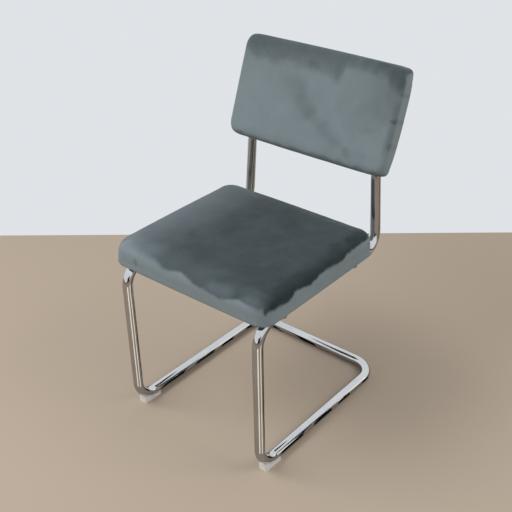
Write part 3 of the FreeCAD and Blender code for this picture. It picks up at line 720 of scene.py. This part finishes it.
def ripple_cover(piece, height):
    """Soft unevenness of cloth drawn over foam, on a cushion that lies on its flat face; that face stays flat."""
    mesh = piece.data
    normals = [vert.normal.copy() for vert in mesh.vertices]
    for vert, normal in zip(mesh.vertices, normals):
        change = 0.7 * wave(vert.co, 0.060, 30.0) + 0.3 * wave(vert.co, 0.022, 31.0)
        vert.co += normal * height * change * ease(MM, 6 * MM, vert.co.z)


def upholster(name, size, corners, edges, crown, cell, limit, rounds, growth):
    """Cushion that lies on its flat face: rounded, swollen as cloth is and brought back to its measured size."""
    sizes = bpy.context.scene.chair_sizes
    width, depth, height = size
    cushion = rounded_block(name, width, depth, height, corners[0], *edges)
    modify(cushion, "REMESH", mode="VOXEL", voxel_size=cell)
    baked(cushion)
    shape_cushion(cushion, width, depth, height, *corners, crown, sizes.crown_run, sizes.side_bow)
    swell(cushion, sizes.swell_pressure, limit)
    relax(cushion, rounds)
    fit_to(cushion, width + growth[0] * sizes.side_bow, depth + growth[1] * sizes.side_bow, height,
           height + crown, sizes.crown_run)
    modify(cushion, "SUBSURF", levels=1, render_levels=1)
    baked(cushion)
    ripple_cover(cushion, sizes.ripple)
    return cushion


def dress_cushion(piece, tone_with_painted_light_at, nodes):
    """Covers a cushion in velvet and stores on each vertex its tone with painted sheen and painted shade, from 0,
    dark, to 1, light.
    """
    mesh = piece.data
    mesh.materials.append(velvet_material())
    mesh.shade_smooth()
    # The nap value stored here is the pile's tone with painted sheen and painted shade.
    attribute = mesh.attributes.new("nap", "FLOAT", "POINT")
    attribute.data.foreach_set("value", [tone_with_painted_light_at(vert.co, vert.normal) for vert in mesh.vertices])
    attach(piece, ROOT)
    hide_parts(*nodes)


class CHAIR_OT_seat_cushion(bpy.types.Operator):
    """Makes the padded velvet seat"""
    bl_idname = "chair.seat_cushion"
    bl_label = "Seat cushion"

    def execute(self, context):
        sizes = context.scene.chair_sizes
        cushion = upholster(
            "seat_cushion", (sizes.seat_width, sizes.seat_depth, sizes.seat_height),
            (sizes.seat_corner, sizes.seat_low_corner),
            (sizes.seat_front_edge, sizes.seat_side_edge, sizes.under_edge), sizes.seat_crown,
            sizes.cloth_cell, sizes.swell_limit, 2, (2.0, 1.6))
        cushion.data.transform(Matrix.Translation((0.0, seat_low.y + 0.5 * MM, seat_low.z)))
        dress_cushion(cushion, seat_tone_with_painted_light, ("seat_cover", "seat_foam"))
        return {"FINISHED"}


class CHAIR_OT_back_cushion(bpy.types.Operator):
    """Makes the padded velvet back board"""
    bl_idname = "chair.back_cushion"
    bl_label = "Back cushion"

    def execute(self, context):
        sizes = context.scene.chair_sizes
        cushion = upholster(
            "back_cushion", (sizes.back_width, sizes.back_height, sizes.back_thickness),
            (sizes.back_corner, sizes.back_rear_corner),
            (sizes.back_edge, sizes.back_edge, 0.85 * sizes.back_edge), sizes.back_crown,
            0.9 * sizes.cloth_cell, 0.7 * sizes.swell_limit, 1, (1.3, 0.8))
        to_board(cushion)
        dress_cushion(cushion, back_tone_with_painted_light, ("back_cover", "back_front_foam", "back_rear_foam"))
        return {"FINISHED"}


class CHAIR_OT_dust_cloth(bpy.types.Operator):
    """Makes the black cloth under the seat"""
    bl_idname = "chair.dust_cloth"
    bl_label = "Dust cloth"

    def execute(self, context):
        width = dust_high.x - dust_low.x
        depth = dust_high.y - dust_low.y
        corner = DUST_CLOTH_CORNER
        bm = bmesh.new()
        bmesh.ops.create_grid(bm, x_segments=80, y_segments=74, size=0.5)
        bmesh.ops.scale(bm, vec=(width, depth, 1.0), verts=bm.verts)
        bmesh.ops.translate(bm, vec=(0.0, dust_centre_y, dust_high.z - 0.1 * MM), verts=bm.verts)
        half = Vector((width / 2 - corner, depth / 2 - corner))
        for vert in bm.verts:
            over = Vector((abs(vert.co.x) - half.x, abs(vert.co.y - dust_centre_y) - half.y))
            if over.x > 0 and over.y > 0 and over.length > corner:
                reach = over * (corner / over.length)
                vert.co.x = math.copysign(half.x + reach.x, vert.co.x)
                vert.co.y = dust_centre_y + math.copysign(half.y + reach.y, vert.co.y - dust_centre_y)
            vert.co.z -= 0.25 * MM * (1 + wave(vert.co, 0.05, 20.0))
        bmesh.ops.solidify(bm, geom=bm.faces[:] + bm.edges[:] + bm.verts[:], thickness=-0.3 * MM)
        cloth = mesh_object("dust_cloth", bm, dust_cloth_material())
        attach(cloth, ROOT)
        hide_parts("seat_dust_cover")
        return {"FINISHED"}


# Staple: length, width and thickness; its distance from the cloth's edge, and the corners' stretch without staples
STAPLE = (10 * MM, 1.3 * MM, 0.6 * MM)
STAPLE_INSET = 5 * MM
STAPLE_FREE_END = 30 * MM


class CHAIR_OT_staples(bpy.types.Operator):
    """Makes the staples that hold the dust cloth"""
    bl_idname = "chair.staples"
    bl_label = "Staples"

    def execute(self, context):
        pitch = context.scene.chair_sizes.staple_pitch
        long, wide, thick = STAPLE
        bm = bmesh.new()
        for along_x in (True, False):
            run = dust_high.x - dust_low.x if along_x else dust_high.y - dust_low.y
            count = int((run - 2 * STAPLE_FREE_END) / pitch) + 1
            for side in (-1, 1):
                for index in range(count):
                    offset = (index - (count - 1) / 2) * pitch
                    turn = 0.12 * math.sin(7.0 * index + 3.0 * side + along_x)
                    if along_x:
                        spot = Vector((offset, (dust_high.y if side > 0 else dust_low.y) - side * STAPLE_INSET))
                        if abs(abs(spot.x) - RAIL_X) < RAIL_RADIUS + 0.5 * MM:
                            continue
                    else:
                        spot = Vector((side * (dust_high.x - STAPLE_INSET), dust_centre_y + offset))
                        turn += math.radians(90)
                    staple = bmesh.ops.create_cube(
                        bm, size=1.0,
                        matrix=Matrix.Translation((spot.x, spot.y, dust_low.z - 0.25 * MM))
                        @ Matrix.Rotation(turn, 4, "Z") @ Matrix.Diagonal((long, wide, thick, 1.0)))
                    edges = {edge for vert in staple["verts"] for edge in vert.link_edges}
                    bmesh.ops.bevel(bm, geom=list(edges), offset=0.2 * MM, segments=2, profile=0.5,
                                    affect="EDGES", material=-1)
        staples = mesh_object("staples", bm, zinc_material())
        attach(staples, ROOT)
        return {"FINISHED"}


BEAD_RADIUS = 1.5 * MM
BEAD_POINTS = 28


class CHAIR_OT_weld_beads(bpy.types.Operator):
    """Makes the weld beads at the ends of the cross tubes"""
    bl_idname = "chair.weld_beads"
    bl_label = "Weld beads"

    def execute(self, context):
        curve = bpy.data.curves.new("weld_beads", "CURVE")
        curve.dimensions = "3D"
        curve.bevel_depth = BEAD_RADIUS
        curve.bevel_resolution = 3
        for name in ("front_cross_tube", "rear_cross_tube"):
            low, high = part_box(name)
            centre, radius = (low + high) / 2, (high.z - low.z) / 2
            for side in (-1, 1):
                spline = curve.splines.new("NURBS")
                spline.points.add(BEAD_POINTS - 1)
                for index, point in enumerate(spline.points):
                    angle = math.tau * index / BEAD_POINTS
                    up, back = radius * math.sin(angle), radius * math.cos(angle)
                    reach = RAIL_X - math.sqrt(RAIL_RADIUS ** 2 - up ** 2)
                    point.co = (side * reach, centre.y + back, centre.z + up, 1.0)
                    point.radius = 1.0 + 0.18 * math.sin(3.7 * index) * math.cos(1.3 * index + side)
                spline.use_cyclic_u = True
                spline.order_u = 4
        drawn = bpy.data.objects.new("weld_bead_curve", curve)
        context.scene.collection.objects.link(drawn)
        mesh = bpy.data.meshes.new_from_object(drawn.evaluated_get(context.evaluated_depsgraph_get()))
        bpy.data.objects.remove(drawn)
        mesh.name = "weld_beads"
        mesh.shade_smooth()
        mesh.materials.append(chrome_material())
        beads = bpy.data.objects.new("weld_beads", mesh)
        context.scene.collection.objects.link(beads)
        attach(beads, ROOT)
        return {"FINISHED"}


class CHAIR_OT_metalwork(bpy.types.Operator):
    """Finishes the chrome tubes and the zinc plated fasteners"""
    bl_idname = "chair.metalwork"
    bl_label = "Tubes and fasteners"

    def execute(self, context):
        chrome = chrome_material()
        zinc = zinc_material()
        for name in ("frame_tube", "front_cross_tube", "rear_cross_tube"):
            finish_node(name, chrome)
        for part in ("tee_nuts", "bolts", "washers"):
            finish_node("seat_" + part, zinc)
            finish_node("back_" + part, zinc)
        return {"FINISHED"}


class CHAIR_OT_plastics(bpy.types.Operator):
    """Finishes the glides, the post caps and the plywood"""
    bl_idname = "chair.plastics"
    bl_label = "Glides, caps and panels"

    def execute(self, context):
        colours = context.scene.chair_colours
        milky = plastic_material("milky_plastic", colours.milky, 0.38, 0.08, 0.25)
        clear = plastic_material("clear_plastic", colours.clear, 0.12, 0.85)
        black = plastic_material("black_plastic", colours.black, 0.42, 0.0)
        plywood = plywood_material()
        for side in ("left", "right"):
            finish_node("front_shoe_" + side, milky)
            finish_node("rear_pad_" + side, clear)
            finish_node("post_cap_" + side, black)
        finish_node("seat_panel", plywood)
        finish_node("back_panel", plywood)
        return {"FINISHED"}


def finish_node(name, material):
    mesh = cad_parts[name].data
    mesh.materials.clear()
    mesh.materials.append(material)


def seen_as_pale(tree, shader, pale):
    """Shows a plain pale colour to the camera, mirrors and glass, and the given shader to all else."""
    rays = add(tree, "ShaderNodeLightPath", (-300, 200)).outputs
    seen = math_node(tree, (-50, 250), "MAXIMUM", rays["Is Camera Ray"], rays["Is Glossy Ray"])
    seen = math_node(tree, (100, 150), "MAXIMUM", seen, rays["Is Transmission Ray"])
    return add(tree, "ShaderNodeMixShader", (300, 0), {"Fac": seen, 1: shader, 2: pale}).outputs["Shader"]


def soft_lamp(name, place, width, height, power):
    """Soft lamp that looks at the chair and isn't seen in its chrome."""
    light = bpy.data.lights.new(name, "AREA")
    light.shape = "RECTANGLE"
    light.size = width
    light.size_y = height
    light.energy = power
    lamp = bpy.data.objects.new(name, light)
    lamp.visible_glossy = False
    lamp.location = place
    lamp.rotation_mode = "QUATERNION"
    lamp.rotation_quaternion = (LAMP_AIM - Vector(place)).to_track_quat("-Z", "Y")
    bpy.context.scene.collection.objects.link(lamp)


def one_sided(tree):
    """Alpha of a stage sheet through which the view from behind passes."""
    behind = add(tree, "ShaderNodeNewGeometry", (-600, -300)).outputs["Backfacing"]
    return math_node(tree, (-300, -300), "SUBTRACT", 1.0, behind)


def mirror_only(card, seen_directly=False):
    """Keeps a sheet of the stage out of all but mirrors, or out of all but mirrors and the direct view."""
    card.visible_camera = seen_directly
    card.visible_transmission = seen_directly
    card.visible_diffuse = False
    card.visible_shadow = False
    card.visible_volume_scatter = False


def standing_card(name, centre, facing, width, low, high, colour, glow, seen_directly=False):
    """Upright sheet on the stage that adds no light: it shows in chrome, and as the backdrop also directly."""
    bm = bmesh.new()
    bmesh.ops.create_grid(bm, x_segments=1, y_segments=1, size=0.5)
    bmesh.ops.scale(bm, vec=(width, high - low, 1.0), verts=bm.verts)
    turn = Matrix.Rotation(math.atan2(facing.y, facing.x) + math.radians(90), 4, "Z") @ Matrix.Rotation(
        math.radians(90), 4, "X")
    place = Matrix.Translation((centre.x, centre.y, (low + high) / 2))
    bmesh.ops.transform(bm, matrix=place @ turn, verts=bm.verts)
    material, tree, shader = material_base(name)
    feed(tree, shader, {"Base Color": (0.0, 0.0, 0.0, 1.0), "Specular IOR Level": 0.0,
                        "Emission Color": (*colour, 1.0), "Emission Strength": glow, "Alpha": one_sided(tree)})
    mirror_only(mesh_object(name, bm, material), seen_directly)


# Flat directions: to the camera, to its right, and where the runners mirror the far horizon
TO_CAMERA = Vector((math.sin(math.radians(CAMERA_YAW)), -math.cos(math.radians(CAMERA_YAW))))
TO_RIGHT = Vector((math.cos(math.radians(CAMERA_YAW)), math.sin(math.radians(CAMERA_YAW))))
TO_HORIZON = Vector((0.771, 0.637))
BACKDROP_AWAY = 2.742
DARK_WALL_AWAY = 4.0
BRIGHT_BOARD_AWAY = 2.3

# Chrome mirrors the floor in this share of its colour, as it mirrors the darker room floor in the photograph
MIRRORED_FLOOR = 0.60

# Soft lamps: name, place, width, height and power
LAMP_AIM = Vector((0.0, 0.0, 0.4))
LAMPS = (
    ("key_lamp", (-1.2, -1.6, 2.6), 1.8, 1.2, 42.0),
    ("fill_lamp", (2.2, 0.6, 2.2), 1.4, 1.4, 16.0),
)

# Glowing cream cards close by the front legs, seen only in chrome, where they paint bright reflections: angle from
# the camera's direction and width
LEG_CARDS = ((-3.0, 0.027), (47.0, 0.022))
LEG_CARD_AWAY = 0.075
LEG_CARD_TOP = 0.345

# Dark lanes that the runners mirror as black patches: where each starts along the runner, its end, and the
# height of the board at its far end
DARK_LANES = ((-0.195, -0.105, 2.0), (-0.060, 0.018, 1.8), (0.048, 0.100, 1.9), (0.160, 0.205, 1.6))
LANE_START = Vector((0.016, 0.013, MM))
LANE_SPREAD = 0.22
NEAR_LANE_REACH = 1.9
FAR_LANE_REACH = 0.25


def dark_lane(name, runner_x, low_y, high_y, reach, height):
    """Dark strip on the floor beside a runner that ends in an upright board; it shows only in chrome."""
    bm = bmesh.new()
    out = Vector((*TO_HORIZON, 0.0))
    start = Vector((runner_x, 0.0, 0.0)) + LANE_START
    spread = 1.0 + LANE_SPREAD * reach
    near = [bm.verts.new(start + Vector((0.0, y, 0.0))) for y in (low_y, high_y)]
    edge = bm.edges.new(near)
    for move in (out * reach, Vector((0.0, 0.0, height))):
        grown = bmesh.ops.extrude_edge_only(bm, edges=[edge])["geom"]
        moved = [item for item in grown if isinstance(item, bmesh.types.BMVert)]
        edge = next(item for item in grown if isinstance(item, bmesh.types.BMEdge) and set(item.verts) == set(moved))
        bmesh.ops.translate(bm, vec=move, verts=moved)
        if move.z == 0.0:
            middle = (moved[0].co + moved[1].co) / 2
            bmesh.ops.scale(bm, vec=(spread, spread, 1.0), verts=moved, space=Matrix.Translation(-middle))
    material, tree, shader = material_base("dark_card")
    feed(tree, shader, {"Base Color": (0.008, 0.008, 0.009, 1.0), "Roughness": 1.0, "Specular IOR Level": 0.0})
    mirror_only(mesh_object(name, bm, material))


class CHAIR_OT_studio(bpy.types.Operator):
    """Sets up the floor, the lamps and the camera"""
    bl_idname = "chair.studio"
    bl_label = "Studio"

    def execute(self, context):
        scene = context.scene
        bm = bmesh.new()
        bmesh.ops.create_grid(bm, x_segments=1, y_segments=1, size=12.0)
        material, tree, shader = material_base("pale_floor")
        colour = scene.chair_colours.floor
        mirrored = add(tree, "ShaderNodeLightPath", (-300, 200)).outputs["Is Glossy Ray"]
        tint_base(tree, shader, mirrored, colour, [MIRRORED_FLOOR * channel for channel in colour])
        feed(tree, shader, {"Roughness": 0.9, "Specular IOR Level": 0.0, "Alpha": one_sided(tree)})
        floor = mesh_object("floor", bm, material)

        backdrop = CAMERA_PLACE.to_2d() - TO_CAMERA * BACKDROP_AWAY
        standing_card("backdrop", backdrop, TO_CAMERA, 12.0, 0.0, 5.0, scene.chair_colours.wall, 1.0, True)
        for number, (low_y, high_y, height) in enumerate(DARK_LANES):
            dark_lane("near_lane_%d" % number, RAIL_X, low_y, high_y, NEAR_LANE_REACH, height)
            dark_lane("far_lane_%d" % number, -RAIL_X, low_y, high_y, FAR_LANE_REACH, MM)
        # A dark sheet behind the camera, seen only in chrome, paints dark reflections.
        standing_card("dark_wall", TO_CAMERA * DARK_WALL_AWAY, -TO_CAMERA, 2.6, 0.0, 1.5, (0.02, 0.02, 0.022), 1.0)
        # A glowing board seen only in chrome paints bright reflections along the runners.
        behind = Vector((RAIL_X, 0.0)) + TO_HORIZON * BRIGHT_BOARD_AWAY
        standing_card("bright_board", behind, -TO_HORIZON, 1.1, 0.0, 0.75, (1.0, 0.97, 0.90), 1.15)
        for side in (-1, 1):
            foot = Vector((side * RAIL_X, FRONT_LEG_Y))
            for number, (angle, width) in enumerate(LEG_CARDS):
                heading = TO_CAMERA * math.cos(math.radians(angle)) + TO_RIGHT * math.sin(math.radians(angle))
                standing_card("leg_card_%d_%d" % (side + 1, number), foot + heading * LEG_CARD_AWAY, -heading,
                              width, 0.0, LEG_CARD_TOP, (1.0, 0.92, 0.76), 0.95)

        world = bpy.data.worlds.new("studio")
        scene.world = world
        world.use_nodes = True
        tree = world.node_tree
        tree.nodes.clear()
        room = add(tree, "ShaderNodeBackground", (0, -100), {"Color": (0.95, 0.97, 1.0, 1.0), "Strength": 0.55})
        pale = add(tree, "ShaderNodeBackground", (0, -300),
                   {"Color": (*scene.chair_colours.wall, 1.0), "Strength": 1.0})
        mixed = seen_as_pale(tree, room.outputs["Background"], pale.outputs["Background"])
        add(tree, "ShaderNodeOutputWorld", (600, 0), {"Surface": mixed})
        for lamp in LAMPS:
            soft_lamp(*lamp)

        camera = bpy.data.cameras.new("camera")
        camera.sensor_width = SENSOR_WIDTH
        camera.lens = CAMERA_LENS
        camera.clip_start = 0.05
        camera.clip_end = 60.0
        viewer = bpy.data.objects.new("camera", camera)
        turn = (
            Matrix.Rotation(math.radians(CAMERA_YAW), 4, "Z")
            @ Matrix.Rotation(math.radians(90 - CAMERA_PITCH), 4, "X")
            @ Matrix.Rotation(math.radians(CAMERA_ROLL), 4, "Z")
        )
        viewer.matrix_world = Matrix.Translation(CAMERA_PLACE) @ turn
        scene.collection.objects.link(viewer)
        scene.camera = viewer
        scene.view_settings.view_transform = "Standard"
        return {"FINISHED"}


class CHAIR_PT_panel(bpy.types.Panel):
    """Lists the chair's pieces"""
    bl_label = "Cantilever chair"
    bl_idname = "CHAIR_PT_panel"
    bl_space_type = "VIEW_3D"
    bl_region_type = "UI"
    bl_category = "Chair"

    def draw(self, context):
        layout = self.layout
        for operator in PIECES:
            layout.operator(operator.bl_idname)
        for group in (context.scene.chair_sizes, context.scene.chair_colours):
            box = layout.box()
            for name in group.__annotations__:
                box.prop(group, name)


PIECES = (
    CHAIR_OT_metalwork,
    CHAIR_OT_plastics,
    CHAIR_OT_seat_cushion,
    CHAIR_OT_back_cushion,
    CHAIR_OT_dust_cloth,
    CHAIR_OT_staples,
    CHAIR_OT_weld_beads,
    CHAIR_OT_studio,
)
CLASSES = (ChairSizes, ChairColours, *PIECES, CHAIR_PT_panel)


def register():
    for item in CLASSES:
        bpy.utils.register_class(item)
    bpy.types.Scene.chair_sizes = PointerProperty(type=ChairSizes)
    bpy.types.Scene.chair_colours = PointerProperty(type=ChairColours)


def unregister():
    del bpy.types.Scene.chair_colours
    del bpy.types.Scene.chair_sizes
    for item in reversed(CLASSES):
        bpy.utils.unregister_class(item)


def main():
    register()
    bpy.ops.chair.metalwork()
    bpy.ops.chair.plastics()
    bpy.ops.chair.seat_cushion()
    bpy.ops.chair.back_cushion()
    bpy.ops.chair.dust_cloth()
    bpy.ops.chair.staples()
    bpy.ops.chair.weld_beads()
    bpy.ops.chair.studio()


if __name__ == "__main__":
    main()
